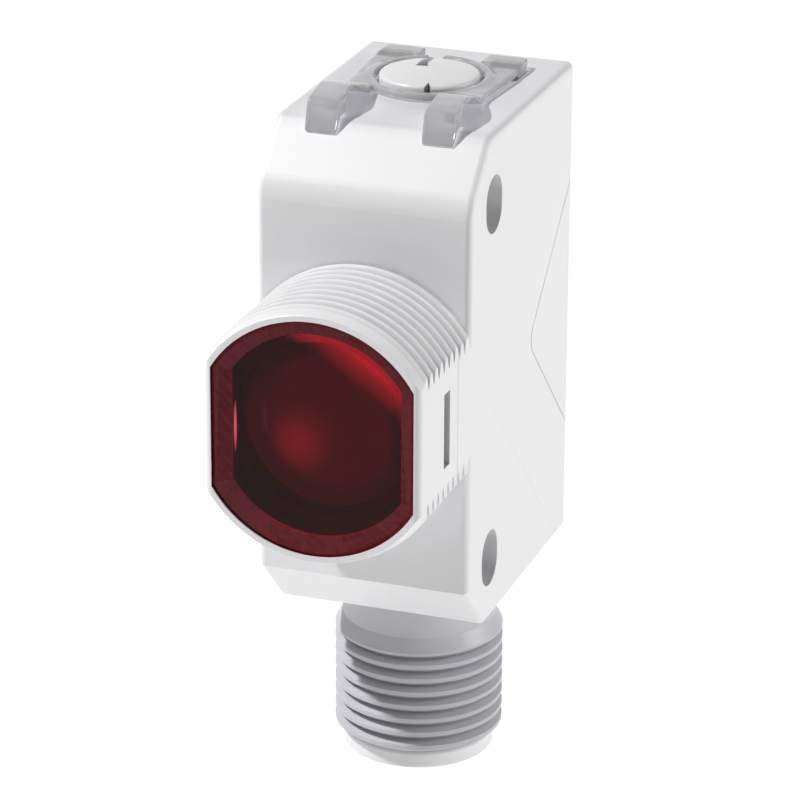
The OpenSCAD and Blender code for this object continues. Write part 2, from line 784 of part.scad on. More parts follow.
// Clear light guide: a ring on four legs, the rear two reaching down to the indicators
module light_guide() {
    head_in = leg_in - 0.7;
    color("#b4b4bc") {
        guide_ring();
        for (s = [0, 1]) mirror([s, 0, 0]) {
            intersection() {
                along_x(leg_in, leg_out) front_leg_plan();
                along_z(z_bottom, reach * 2) front_leg_width();
            }
            along_z(guide_low, guide_high) side_arm_plan();
            box([head_in, rear_leg_y - rear_leg_d + 0.1, guide_low], [leg_out - 0.1, rear_leg_y + 0.7, z_top + head_rise]);
            box([leg_in, rear_leg_y - rear_leg_d, top_board_top + indicator_t + 0.3],
                [leg_out, rear_leg_y, guide_low + e]);
        }
    }
}

module indicator(s) {
    translate([s * leg_x - indicator_w / 2, rear_leg_y - rear_leg_d / 2 - indicator_w / 2, top_board_top])
        cube([indicator_w, indicator_w, indicator_t]);
}

module green_indicator() {
    color("limegreen") indicator(-1);
}

module yellow_indicator() {
    color("gold") indicator(1);
}

plug_top = z_bottom - neck_len;
thread_top = plug_top - plug_shoulder_h;
crest_half = plug_pitch / 2 - plug_thread_depth * thread_flank - thread_root;
first_crest = thread_top - 0.07;
last_crest = first_crest - (plug_ridges - 1) * plug_pitch;
thread_end = last_crest - crest_half;
collar_top = thread_end - 0.42;
plug_end = collar_top - collar_len;
socket_floor = plug_end + socket_depth;
flange_top = cavity_bottom + flange_t;

// Outline of the connector's shell as [radius, height], inner wall left out
module shell_outline() {
    r = plug_thread_d / 2;
    polygon(concat(
        [[0, plug_end], [collar_d / 2 - 0.12, plug_end], [collar_d / 2, plug_end + 0.12],
         [collar_d / 2, collar_top], [r, thread_end]],
        ridge_points(r, plug_thread_depth, last_crest + plug_pitch / 2, plug_pitch, plug_ridges - 1),
        [[r, thread_top - 0.05], [neck_d / 2, plug_top], [neck_d / 2, z_bottom + 0.1],
         [shoulder_d / 2, z_bottom + 0.1], [shoulder_d / 2, z_bottom + 0.4],
         [shoulder_d / 2 - 0.75, z_bottom + 0.4], [shoulder_d / 2 - 0.75, z_bottom + 1.35],
         [shoulder_d / 2, z_bottom + 1.35], [shoulder_d / 2, flange_top], [0, flange_top]]
    ));
}

// Threaded plug shell with its flange inside the housing
module connector_shell() {
    color("gainsboro") translate([0, plug_y, 0]) difference() {
        union() {
            rotate_extrude() shell_outline();
            intersection() {
                translate([0, 0, cavity_bottom]) cylinder(d = shoulder_d + 1.8, h = flange_t);
                box([-cavity_half_w + 0.05, front_cavity_end + 0.1 - plug_y, cavity_bottom - 1],
                    [cavity_half_w - 0.05, 10, cavity_bottom + 2]);
            }
        }
        translate([0, 0, plug_end - 1]) cylinder(d = socket_d, h = 30);
    }
}

module connector_seal() {
    color("#222222") translate([0, plug_y, z_bottom + 0.875])
        rotate_extrude() translate([shoulder_d / 2 - 0.36, 0]) circle(d = 0.72);
}

// Insulating insert with its coding key
module contact_carrier() {
    r = socket_d / 2 - 0.02;
    color("#303036") translate([0, plug_y, 0]) difference() {
        union() {
            translate([0, 0, socket_floor]) cylinder(r = r, h = flange_top - socket_floor);
            intersection() {
                translate([0, 0, plug_end + 1]) cylinder(r = r, h = socket_depth);
                translate([-key_w / 2, r - 0.8, plug_end]) cube([key_w, 2, socket_depth + 1]);
            }
        }
        for (a = [0:90:270]) rotate(a) translate([pin_circle_r, 0, plug_end])
            cylinder(d = pin_d, h = 30);
    }
}

// Four contact pins with their solder tails
module contact_pins() {
    tail_top = plug_board_low + board_t + 0.5;
    color("goldenrod") translate([0, plug_y, 0]) for (a = [0:90:270]) rotate(a)
        translate([pin_circle_r, 0, 0]) {
            translate([0, 0, plug_end + pin_recess + 0.3])
                cylinder(d = pin_d, h = flange_top - plug_end - pin_recess - 0.3);
            translate([0, 0, plug_end + pin_recess]) cylinder(d1 = 0.5, d2 = pin_d, h = 0.3);
            translate([0, 0, flange_top - e]) cylinder(d = 0.6, h = tail_top - flange_top + e);
        }
}

module connector_board() {
    color("darkgreen") difference() {
        box([-board_half_w, front_cavity_end + 0.3, plug_board_low],
            [board_half_w, main_board_front - 0.3, plug_board_low + board_t]);
        translate([0, plug_y, 0]) for (a = [0:90:270]) rotate(a)
            translate([pin_circle_r, 0, plug_board_low - 1]) cylinder(d = 0.6, h = 3);
    }
}

// Thin flexible strip from the emitter board up to the top board
module flex_link() {
    bend_z = front_cavity_high - 0.4;
    end_y = front_cavity_end + 0.9;
    color("darkorange") {
        box([-2, emitter_board_back, -4], [2, emitter_board_back + 0.2, bend_z]);
        box([-2, emitter_board_back, bend_z - 0.2], [2, end_y, bend_z]);
        box([-2, end_y - 0.2, bend_z - 0.2], [2, end_y, top_board_top - board_t]);
    }
}

// A flat package on the main board, centred at [x, z]
module chip(x, z, w) {
    box([x - w / 2, main_board_front - chip_t, z - w / 2], [x + w / 2, main_board_front, z + w / 2]);
}

driver_chip_z = -driver_chip_w - control_chip_w / 4;

module control_chip() {
    color("#2b2b2e") chip(0, control_chip_w / 4, control_chip_w);
}

module driver_chip() {
    color("#2b2b2e") chip(driver_chip_w / 8, driver_chip_z, driver_chip_w);
}

module capacitors() {
    w = capacitor_len * 0.8;
    x = driver_chip_w / 8 - driver_chip_w / 2 - w - 0.8;
    color("burlywood") for (i = [-1:1])
        box([x - w / 2, main_board_front - w, driver_chip_z - capacitor_len / 2 + i * capacitor_pitch],
            [x + w / 2, main_board_front, driver_chip_z + capacitor_len / 2 + i * capacitor_pitch]);
}

housing();
rear_cover();
window();
window_seal();
lens();
lens_holder();
emitter_diode();
emitter_board();
main_board();
top_board();
potentiometer();
potentiometer_rotor();
adjuster_dial();
adjuster_seal();
light_guide();
green_indicator();
yellow_indicator();
connector_shell();
contact_carrier();
contact_pins();
connector_seal();
connector_board();
flex_link();
control_chip();
driver_chip();
capacitors();
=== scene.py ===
import math

import bpy
from mathutils import Matrix, Vector


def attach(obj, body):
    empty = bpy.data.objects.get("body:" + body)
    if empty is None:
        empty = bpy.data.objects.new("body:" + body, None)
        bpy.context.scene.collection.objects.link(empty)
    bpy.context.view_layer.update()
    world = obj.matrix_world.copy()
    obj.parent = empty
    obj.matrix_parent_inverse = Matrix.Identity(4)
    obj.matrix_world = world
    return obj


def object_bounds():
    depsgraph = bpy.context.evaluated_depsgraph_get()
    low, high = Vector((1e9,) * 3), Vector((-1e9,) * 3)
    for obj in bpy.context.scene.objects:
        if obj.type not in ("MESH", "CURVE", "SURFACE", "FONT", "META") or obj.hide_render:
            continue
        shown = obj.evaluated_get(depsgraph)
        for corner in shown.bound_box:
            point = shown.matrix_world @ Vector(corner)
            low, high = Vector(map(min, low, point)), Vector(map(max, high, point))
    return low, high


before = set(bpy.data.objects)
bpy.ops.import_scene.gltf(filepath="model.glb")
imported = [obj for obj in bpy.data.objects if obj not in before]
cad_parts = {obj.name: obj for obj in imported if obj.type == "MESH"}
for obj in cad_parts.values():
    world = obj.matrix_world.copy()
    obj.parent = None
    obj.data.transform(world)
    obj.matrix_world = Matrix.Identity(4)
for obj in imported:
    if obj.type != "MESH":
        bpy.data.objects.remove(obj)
cadLow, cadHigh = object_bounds()
print("frame loaded:", len(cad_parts), "nodes")

mm = 0.001
farMm = 100  # further out than any piece reaches, for a limit that is left open


# Small helpers for nodes, colours and objects

def srgb(hexColour):
    channels = [int(hexColour[i:i + 2], 16) / 255 for i in (1, 3, 5)]
    return [c / 12.92 if c <= 0.04045 else ((c + 0.055) / 1.055) ** 2.4 for c in channels] + [1]


def addNode(tree, kind, settings=None, inputs=None):
    node = tree.nodes.new(kind)
    for name, value in (settings or {}).items():
        setattr(node, name, value)
    for name, value in (inputs or {}).items():
        if isinstance(value, bpy.types.NodeSocket):
            tree.links.new(value, node.inputs[name])
        else:
            node.inputs[name].default_value = value
    return node


def addMaths(tree, operation, *values):
    node = addNode(tree, "ShaderNodeMath", {"operation": operation}, dict(enumerate(values)))
    return node.outputs[0]


def addProduct(tree, first, *others):
    for other in others:
        first = addMaths(tree, "MULTIPLY", first, other)
    return first


def addRamp(tree, value, start, end, low, high):
    # low at start, high at end, and flat outside them
    return addNode(tree, "ShaderNodeMapRange", inputs={
        "Value": value, "From Min": start, "From Max": end,
        "To Min": low, "To Max": high}).outputs[0]


def addBlend(tree, share, first, second):
    # the first colour where share is 0, the second where it is 1
    return addNode(tree, "ShaderNodeMix", {"data_type": "RGBA"}, {
        0: share, 6: first, 7: second}).outputs[2]


def addNoise(tree, place, sizeMm, detail, roughness=0.5):
    return addNode(tree, "ShaderNodeTexNoise", inputs={
        "Vector": place, "Scale": 1 / (sizeMm * mm), "Detail": detail,
        "Roughness": roughness}).outputs["Fac"]


def addBump(tree, height, depthMm):
    return addNode(tree, "ShaderNodeBump", inputs={
        "Height": height, "Distance": depthMm * mm, "Strength": 1.0}).outputs[0]


def startMaterial(name):
    material = bpy.data.materials.new(name)
    material.use_nodes = True
    tree = material.node_tree
    tree.nodes.clear()
    place = addNode(tree, "ShaderNodeTexCoord").outputs["Object"]
    return material, tree, place


def endMaterial(tree, shader):
    addNode(tree, "ShaderNodeOutputMaterial", inputs={"Surface": shader.outputs[0]})


def addObject(name, data):
    thing = bpy.data.objects.new(name, data)
    bpy.context.scene.collection.objects.link(thing)
    return thing


# Measures in the space of a piece: x to the right, y backwards from the nose's root, z upwards

def axesOf(tree, place):
    return addNode(tree, "ShaderNodeSeparateXYZ", inputs={0: place}).outputs


def between(tree, value, low, high):
    # 1 between low and high, both in millimetres
    return addProduct(tree, addMaths(tree, "GREATER_THAN", value, low * mm),
                      addMaths(tree, "LESS_THAN", value, high * mm))


def radiusAcross(tree, first, second, centreMm):
    # distance from an axis at 0 along the first direction and centreMm along the second
    offset = addMaths(tree, "SUBTRACT", second, centreMm * mm)
    squares = [addProduct(tree, side, side) for side in (first, offset)]
    return addMaths(tree, "SQRT", addMaths(tree, "ADD", *squares))


# Painted shade and painted light that stay in one place on a piece

rootMarginMm = 0.15  # how far the shade of a thread reaches in below its root


def grooveShade(tree, place, groove):
    # painted shade: 0 on the crests of a thread, 1 down in its grooves, where less light reaches
    axes = axesOf(tree, place)
    first, second = (axes[k] for k in groove["across"])
    radius = radiusAcross(tree, first, second, groove["centreMm"])
    deep = addRamp(tree, radius, groove["rootMm"] * mm, groove["crestMm"] * mm, 1.0, 0.0)
    ring = between(tree, radius, groove["rootMm"] - rootMarginMm, groove["crestMm"])
    run = between(tree, axes[groove["along"]], *groove["fromTo"])
    beside = between(tree, first, -groove["flatMm"], groove["flatMm"])
    return addProduct(tree, deep, ring, run, beside)


def innerShade(tree, place, inner):
    # painted shade: 1 on the wall inside the nose, which is coloured nearly black
    side, along, up = axesOf(tree, place)
    radius = radiusAcross(tree, side, up, 0)
    return addProduct(tree, between(tree, radius, -farMm, inner["radiusMm"]),
                      between(tree, along, *inner["fromTo"]),
                      between(tree, side, -inner["sideMm"], inner["sideMm"]))


def pitShade(tree, place, pit):
    # 1 on what is cut into a domed head, such as its slot, where less light comes
    away = addNode(tree, "ShaderNodeVectorMath", {"operation": "DISTANCE"}, {
        0: place, 1: [value * mm for value in pit["centre"]]}).outputs["Value"]
    side, along, up = axesOf(tree, place)
    radius = radiusAcross(tree, side, along, pit["centre"][1])
    return addProduct(tree, between(tree, away, 0, pit["radiusMm"]),
                      between(tree, radius, -farMm, pit["withinMm"]),
                      between(tree, up, pit["aboveMm"], farMm))


def zoneShade(tree, place, zone):
    # 0 up to one height, 1 from another on: painted shade on the case's top face, and the plug's
    #                                        lighter collar
    start, end = (value * mm for value in zone["fromTo"])
    return addRamp(tree, axesOf(tree, place)[2], start, end, 0.0, 1.0)


def creaseDepth(tree, place, crease):
    # 1 along a fine straight line moulded at 45 degrees in the side faces
    side, along, up = axesOf(tree, place)
    away = addMaths(tree, "ABSOLUTE", addMaths(
        tree, "SUBTRACT", addMaths(tree, "ADD", along, up), crease["sumMm"] * mm))
    line = addRamp(tree, away, 0.0, crease["widthMm"] * mm, 1.0, 0.0)
    out = addMaths(tree, "GREATER_THAN", addMaths(tree, "ABSOLUTE", side), crease["faceMm"] * mm)
    return addProduct(tree, line, out, between(tree, along, *crease["fromTo"]))


def paintedGlow(tree, place, limb):
    # painted light, a soft glow that grows with the distance from a centre, or with the nearness to
    # it: the painted crescent reflection along the lens's upper right rim, and the painted round
    # glow in its lower left
    side, along, up = axesOf(tree, place)
    sideways = addMaths(tree, "SUBTRACT", side, limb["centre"][0] * mm)
    away = radiusAcross(tree, sideways, up, limb["centre"][1])
    start, end = (value * mm for value in limb["fromTo"])
    return addProduct(tree, addRamp(tree, away, start, end, 0.0, 1.0), limb["strength"],
                      between(tree, along, -farMm, limb["endMm"]))


def paintedSliverGlow(tree, place, sliver):
    # painted highlight: a narrow bright line glowing on the wall inside the nose
    side, along, up = axesOf(tree, place)
    shares = []
    for k, direction in enumerate((along, up)):
        offset = addMaths(tree, "SUBTRACT", direction, sliver["centre"][k] * mm)
        share = addMaths(tree, "DIVIDE", offset, sliver["half"][k] * mm)
        shares.append(addProduct(tree, share, share))
    inside = addMaths(tree, "SUBTRACT", 1.0, addMaths(tree, "ADD", *shares))
    return addProduct(tree, addMaths(tree, "MAXIMUM", inside, 0.0), sliver["strength"],
                      between(tree, side, *sliver["sideMm"]))


# Plastics: moulded parts carry the fine grain of the mould's spark-eroded face, which breaks up
# highlights a little, and their colour clouds very slightly

plasticIor = 1.53
cloudDetail = 2.0
# fromTo: where in the grain the roughness goes from its low to its high value
grainNoise = {"detail": 3.0, "roughness": 0.6, "fromTo": (0.3, 0.7)}


def mouldedPlastic(name, look):
    material, tree, place = startMaterial(name)
    clouds = addNoise(tree, place, look["cloudMm"], cloudDetail)
    colour = addBlend(tree, clouds, srgb(look["colour"]), srgb(look["cloud"]))
    # painted shade in the thread grooves, inside the nose, in a slot and on the case's top face;
    # the plug's lighter collar is its own tone
    for part, shade in (("groove", grooveShade), ("inner", innerShade), ("pit", pitShade),
                        ("zone", zoneShade)):
        if part in look:
            colour = addBlend(tree, shade(tree, place, look[part]), colour,
                              srgb(look[part]["colour"]))
    grain = addNoise(tree, place, look["grainMm"], grainNoise["detail"], grainNoise["roughness"])
    rough = addRamp(tree, grain, *grainNoise["fromTo"], *look["rough"])
    normal = addBump(tree, grain, look["depthMm"])
    if "crease" in look:
        normal = addNode(tree, "ShaderNodeBump", {"invert": True}, {
            "Height": creaseDepth(tree, place, look["crease"]), "Strength": 1.0,
            "Distance": look["crease"]["depthMm"] * mm, "Normal": normal}).outputs[0]
    shader = addNode(tree, "ShaderNodeBsdfPrincipled", inputs={
        "Base Color": colour, "Roughness": rough, "Normal": normal, "IOR": plasticIor})
    # painted glow: a weak even emission
    if "lit" in look:
        shader.inputs["Emission Color"].default_value = srgb(look["lit"]["colour"])
        shader.inputs["Emission Strength"].default_value = look["lit"]["strength"]
    # painted light: emission for a painted crescent reflection or a painted highlight line
    for part, glow in (("limb", paintedGlow), ("sliver", paintedSliverGlow)):
        if part in look:
            shader.inputs["Emission Color"].default_value = srgb(look[part]["colour"])
            tree.links.new(glow(tree, place, look[part]), shader.inputs["Emission Strength"])
    endMaterial(tree, shader)
    return material


# red of the painted glow and the painted crescent reflection on the lens and its holder
paintedGlowRed = "#ff6c7a"

# white ABS of the case, with painted shade that makes its top face a little greyer than its sides
caseWhite = {"colour": "#eeeeef", "cloud": "#ebebed", "cloudMm": 9, "grainMm": 0.16,
             "depthMm": 0.003, "rough": (0.34, 0.44),
             "zone": {"fromTo": (16.6, 17.4), "colour": "#dddde0"}}

# black ABS, matt against stray light
coalBlack = {"colour": "#1c1c1f", "cloud": "#232326", "cloudMm": 3, "grainMm": 0.12,
             "depthMm": 0.005, "rough": (0.5, 0.65)}

plastics = {
    # white ABS of the housing: satin and nearly neutral, with painted shade in the nose's thread,
    # painted nearly black shade inside the nose, and a painted highlight line on the wall there
    "housingWhite": {
        **caseWhite,
        "groove": {"across": (0, 2), "centreMm": 0, "along": 1, "fromTo": (-8.9, -0.02),
                   "rootMm": 8.46, "crestMm": 8.88, "flatMm": 7.44, "colour": "#b4b4b8"},
        "inner": {"radiusMm": 8.2, "sideMm": 7.05, "fromTo": (-9.6, 1), "colour": "#2a2022"},
        "sliver": {"centre": (-7.72, -0.3), "half": (0.34, 1.9), "sideMm": (-6.1, -5.6),
                   "strength": 1.2, "colour": "#ffffff"},
        "crease": {"sumMm": 2.75, "widthMm": 0.06, "faceMm": 7.47, "fromTo": (4.5, 20.3),
                   "depthMm": 0.02}},
    # the same white ABS, with the same painted shade on top, on the rear cover
    "coverWhite": caseWhite,
    # grey-white ABS of the plug: a little duller, with painted shade in its thread, nearly white on
    # its collar
    "connectorWhite": {
        "colour": "#c4c3c8", "cloud": "#c0bfc5", "cloudMm": 6, "grainMm": 0.16, "depthMm": 0.003,
        "rough": (0.36, 0.46),
        "groove": {"across": (0, 1), "centreMm": 11.8, "along": 2, "fromTo": (-29.7, -21.8),
                   "rootMm": 5.42, "crestMm": 5.62, "flatMm": farMm, "colour": "#a2a2a7"},
        "zone": {"fromTo": (-29.8, -30.0), "colour": "#ededee"}},
    # milky silicone of the gasket: dull grey, with a weak painted glow
    "sealSilicone": {"colour": "#a8a8a8", "cloud": "#a2a2a2", "cloudMm": 2, "grainMm": 0.1,
                     "depthMm": 0.0, "rough": (0.5, 0.6),
                     "lit": {"colour": "#ffb4c4", "strength": 0.08}},
    # light grey plastic of the dial: satin, with painted shade in its slot and notch
    "dialGrey": {"colour": "#e4e4e5", "cloud": "#dfdfe0", "cloudMm": 4, "grainMm": 0.14,
                 "depthMm": 0.002, "rough": (0.3, 0.42),
                 "pit": {"centre": (0, 13.2, 6.6), "radiusMm": 12.06, "withinMm": 3.38,
                         "aboveMm": 17.7, "colour": "#b0b0b4"}},
    # black ABS of the contact carrier: matt
    "matBlack": coalBlack,
    # black ABS of the lens holder: matt, with the end of the lens's painted crescent reflection on
    # its rim
    "holderBlack": {
        **coalBlack,
        "limb": {"centre": (-8.3, -10.8), "fromTo": (17.75, 18.7), "endMm": -6.9,
                 "strength": 0.5, "colour": paintedGlowRed}},
    # blue polyester of the potentiometer: half gloss
    "potBlue": {"colour": "#2c5fb4", "cloud": "#2656a6", "cloudMm": 2, "grainMm": 0.1,
                "depthMm": 0.002, "rough": (0.35, 0.45)},
    # cream polyamide of the potentiometer's rotor: warm against the blue, half gloss
    "rotorWhite": {"colour": "#ece9e0", "cloud": "#e4e0d4", "cloudMm": 1.5, "grainMm": 0.1,
                   "depthMm": 0.002, "rough": (0.4, 0.5)},
    # nitrile rubber of the two round seals: black and dull
    "sealRubber": {"colour": "#19191a", "cloud": "#202021", "cloudMm": 1.5, "grainMm": 0.08,
                   "depthMm": 0.003, "rough": (0.55, 0.75)},
    # black epoxy of the chips: grainy and matt
    "chipEpoxy": {"colour": "#202022", "cloud": "#2a2a2c", "cloudMm": 1, "grainMm": 0.09,
                  "depthMm": 0.004, "rough": (0.5, 0.62)},
    # tan ceramic of the capacitors: smooth, speckled a little
    "ceramicTan": {"colour": "#b08c64", "cloud": "#a37f58", "cloudMm": 0.8, "grainMm": 0.07,
                   "depthMm": 0.002, "rough": (0.28, 0.4)},
    # amber polyimide of the flexible strip: glossy film
    "flexAmber": {"colour": "#b96a16", "cloud": "#a95d10", "cloudMm": 2, "grainMm": 0.2,
                  "depthMm": 0.001, "rough": (0.2, 0.3)},
}


# Clear mouldings: the light goes through them, so what they hold back is their colour

rippleDetail = 1.0


def clearPlastic(name, look):
    material, tree, place = startMaterial(name)
    ripple = addNoise(tree, place, look["rippleMm"], rippleDetail)
    shader = addNode(tree, "ShaderNodeBsdfPrincipled", inputs={
        "Base Color": srgb(look["colour"]), "Roughness": look["rough"], "IOR": look["ior"],
        "Transmission Weight": look["clear"],
        "Normal": addBump(tree, ripple, look["depthMm"])})
    if "tint" in look:
        shader.inputs["Specular Tint"].default_value = srgb(look["tint"])
    if "glow" in look:
        # painted glow as a spot and over the whole lens, and a painted crescent reflection along
        # its rim
        spot = paintedGlow(tree, place, look["glow"])
        rim = addMaths(tree, "ADD", paintedGlow(tree, place, look["limb"]), look["glow"]["all"])
        shader.inputs["Emission Color"].default_value = srgb(look["glow"]["colour"])
        tree.links.new(addMaths(tree, "ADD", spot, rim), shader.inputs["Emission Strength"])
    path = addNode(tree, "ShaderNodeLightPath")
    shade = addNode(tree, "ShaderNodeBsdfTransparent", inputs={"Color": srgb(look["shadow"])})
    both = addNode(tree, "ShaderNodeMixShader", inputs={
        0: path.outputs["Is Shadow Ray"], 1: shader.outputs[0], 2: shade.outputs[0]})
    endMaterial(tree, both)
    return material


clears = {
    # dyed acrylic of the window: polished and deep red, with a dimmed mirror image on its face
    "windowRed": {"colour": "#c84858", "rough": 0.0, "ior": 1.49, "clear": 1.0, "rippleMm": 40,
                  "depthMm": 0.0, "shadow": "#c84858", "tint": "#898989"},
    # clear acrylic of the lens: glassy, with a painted glow as a spot and over all of it, and a
    # painted reflection as a crescent
    "lensClear": {"colour": "#f6fafc", "rough": 0.01, "ior": 1.49, "clear": 1.0, "rippleMm": 9,
                  "depthMm": 0.002, "shadow": "#e6e6e6",
                  "glow": {"centre": (-1.63, -1.1), "fromTo": (2.3, 0.0), "endMm": -5,
                           "strength": 0.12, "all": 0.01, "colour": paintedGlowRed},
                  "limb": {"centre": (-7.8, -11.2), "fromTo": (17.7, 18.9), "endMm": -5,
                           "strength": 0.42}},
    # smoky polycarbonate of the light guide: wavy, so that it glitters along its edges
    "guideClear": {"colour": "#c8c8ca", "rough": 0.07, "ior": 1.58, "clear": 0.6,
                   "rippleMm": 1.6, "depthMm": 0.05, "shadow": "#a4a4a8"},
    # red epoxy of the diode behind the lens: half clear and glossy
    "emitterRed": {"colour": "#e02a2a", "rough": 0.08, "ior": 1.54, "clear": 0.5,
                   "rippleMm": 1, "depthMm": 0.004, "shadow": "#c02020"},
    # green epoxy of one indicator: half clear, a soft gloss
    "indicatorGreen": {"colour": "#3fbf4a", "rough": 0.12, "ior": 1.54, "clear": 0.5,
                       "rippleMm": 1, "depthMm": 0.004, "shadow": "#2f9f3a"},
    # yellow epoxy of the other indicator: the same
    "indicatorYellow": {"colour": "#e8c232", "rough": 0.12, "ior": 1.54, "clear": 0.5,
                        "rippleMm": 1, "depthMm": 0.004, "shadow": "#c8a222"},
}


# Circuit board: green solder mask over the weave of the glass cloth, under a thin gloss

boardLook = {"colour": "#14602f", "weave": "#1b7139", "weaveMm": 0.5, "rough": 0.3, "coat": 0.4}


def boardMaterial(name, look):
    material, tree, place = startMaterial(name)
    weave = addNode(tree, "ShaderNodeTexChecker", inputs={
        "Vector": place, "Scale": 1 / (look["weaveMm"] * mm)}).outputs["Fac"]
    shader = addNode(tree, "ShaderNodeBsdfPrincipled", inputs={
        "Base Color": addBlend(tree, weave, srgb(look["colour"]), srgb(look["weave"])),
        "Roughness": look["rough"], "Coat Weight": look["coat"]})
    endMaterial(tree, shader)
    return material


# Gold of the pins, also on the chips' leads, the capacitors' end caps and the solder: its fine
# marks spread the highlights

metals = {"pinGold": {"colour": "#d9a441", "rough": (0.16, 0.3), "grainMm": 0.08, "detail": 2.0}}


def platedMetal(name, look):
    material, tree, place = startMaterial(name)
    turning = addNoise(tree, place, look["grainMm"], look["detail"])
    shader = addNode(tree, "ShaderNodeBsdfPrincipled", inputs={
        "Base Color": srgb(look["colour"]), "Metallic": 1.0,
        "Roughness": addRamp(tree, turning, 0.0, 1.0, *look["rough"])})
    endMaterial(tree, shader)
    return material


finishes = {name: mouldedPlastic(name, look) for name, look in plastics.items()}
finishes.update({name: clearPlastic(name, look) for name, look in clears.items()})
finishes.update({name: platedMetal(name, look) for name, look in metals.items()})
finishes["boardGreen"] = boardMaterial("boardGreen", boardLook)

nodeFinish = {
    "housing": "housingWhite", "rear_cover": "coverWhite", "window": "windowRed",
    "window_seal": "sealSilicone", "lens": "lensClear", "lens_holder": "holderBlack",
    "emitter_diode": "emitterRed", "emitter_board": "boardGreen", "main_board": "boardGreen",
    "top_board": "boardGreen", "potentiometer": "potBlue", "potentiometer_rotor": "rotorWhite",
    "adjuster_dial": "dialGrey", "adjuster_seal": "sealRubber", "light_guide": "guideClear",
    "green_indicator": "indicatorGreen", "yellow_indicator": "indicatorYellow",
    "connector_shell": "connectorWhite", "contact_carrier": "matBlack",
    "contact_pins": "pinGold", "connector_seal": "sealRubber", "connector_board": "boardGreen",
    "flex_link": "flexAmber", "control_chip": "chipEpoxy", "driver_chip": "chipEpoxy",
    "capacitors": "ceramicTan",
}

for nodeName, finishName in nodeFinish.items():
    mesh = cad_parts[nodeName].data
    mesh.materials.clear()
    mesh.materials.append(finishes[finishName])
print("finishes given to", len(nodeFinish), "nodes")


# The light guide's moulded edges are round, which gives the bright lines along its legs

guideEdge = {"gridMm": 0.08, "smoothing": 32, "factor": 0.5}


def roundEdges(piece, edge):
    grid = piece.modifiers.new("evenSkin", "REMESH")
    grid.mode, grid.voxel_size, grid.use_smooth_shade = "VOXEL", edge["gridMm"] * mm, True
    soft = piece.modifiers.new("softEdges", "SMOOTH")
    soft.factor, soft.iterations = edge["factor"], edge["smoothing"]


roundEdges(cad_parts["light_guide"], guideEdge)


# Small metal parts on the boards, inside the case: gull-wing leads of the two chips, end caps of
# the capacitors, and the solder round the four pins

boardParts = {
    "chipLeads": {
        # one lead seen from above: distance from the package, place from front to back
        "outline": [(0, 19.02), (0.35, 19.02), (0.5, 19.42), (1.0, 19.42), (1.0, 19.6),
                    (0.38, 19.6), (0.23, 19.2), (0, 19.2)],
        "widthMm": 0.3, "pitchMm": 0.65,
        "rows": [  # edge of the package, side it faces, middle of the row, count
            (2.5, 1, 1.25, 7), (-2.5, -1, 1.25, 7), (2.5, 1, -5.25, 5), (-1.5, -1, -5.25, 5)],
    },
    "capacitorCaps": {"x": -3.58, "sizeMm": (1.32, 1.3, 0.34), "y": 18.95, "pitchMm": 2.4,
                      "middle": -5.25, "reachMm": 0.66},
    "pinSolder": {"centre": (0, 11.8), "circleMm": 2.7, "level": -11.9,
                  "angles": (0, 90, 180, 270), "sides": 20,
                  # radius and height of each ring from the board up to the tip
                  "profile": [(0.62, 0.0), (0.4, 0.12), (0.32, 0.34), (0.0, 0.42)]},
}


def shapeOf(name, corners, faces):
    mesh = bpy.data.meshes.new(name)
    mesh.from_pydata([[value * mm for value in corner] for corner in corners], [], faces)
    return bpy.data.objects.new(name, mesh)


def leadShape(part):
    count, half = len(part["outline"]), part["widthMm"] / 2
    corners = [(x, y, z) for z in (-half, half) for x, y in part["outline"]]
    around = [(k, (k + 1) % count, (k + 1) % count + count, k + count) for k in range(count)]
    ends = [tuple(reversed(range(count))), tuple(range(count, 2 * count))]
    return shapeOf("leadShape", corners, around + ends)


def blockShape(part):
    x, y, z = (side / 2 for side in part["sizeMm"])
    corners = [(a * x, b * y, c * z) for a in (-1, 1) for b in (-1, 1) for c in (-1, 1)]
    faces = [(0, 1, 3, 2), (4, 6, 7, 5), (0, 4, 5, 1), (2, 3, 7, 6), (0, 2, 6, 4), (1, 5, 7, 3)]
    return shapeOf("blockShape", corners, faces)


def solderShape(part):
    sides, corners, faces = part["sides"], [], []
    for radius, height in part["profile"][:-1]:
        for k in range(sides):
            angle = 2 * math.pi * k / sides
            corners.append((radius * math.cos(angle), radius * math.sin(angle), height))
    corners.append((0, 0, part["profile"][-1][1]))
    for ring in range(len(part["profile"]) - 2):
        for k in range(sides):
            a, b = ring * sides + k, ring * sides + (k + 1) % sides
            faces.append((a, b, b + sides, a + sides))
    last = (len(part["profile"]) - 2) * sides
    faces += [(last + k, last + (k + 1) % sides, len(corners) - 1) for k in range(sides)]
    faces.append(tuple(reversed(range(sides))))
    return shapeOf("solderShape", corners, faces)


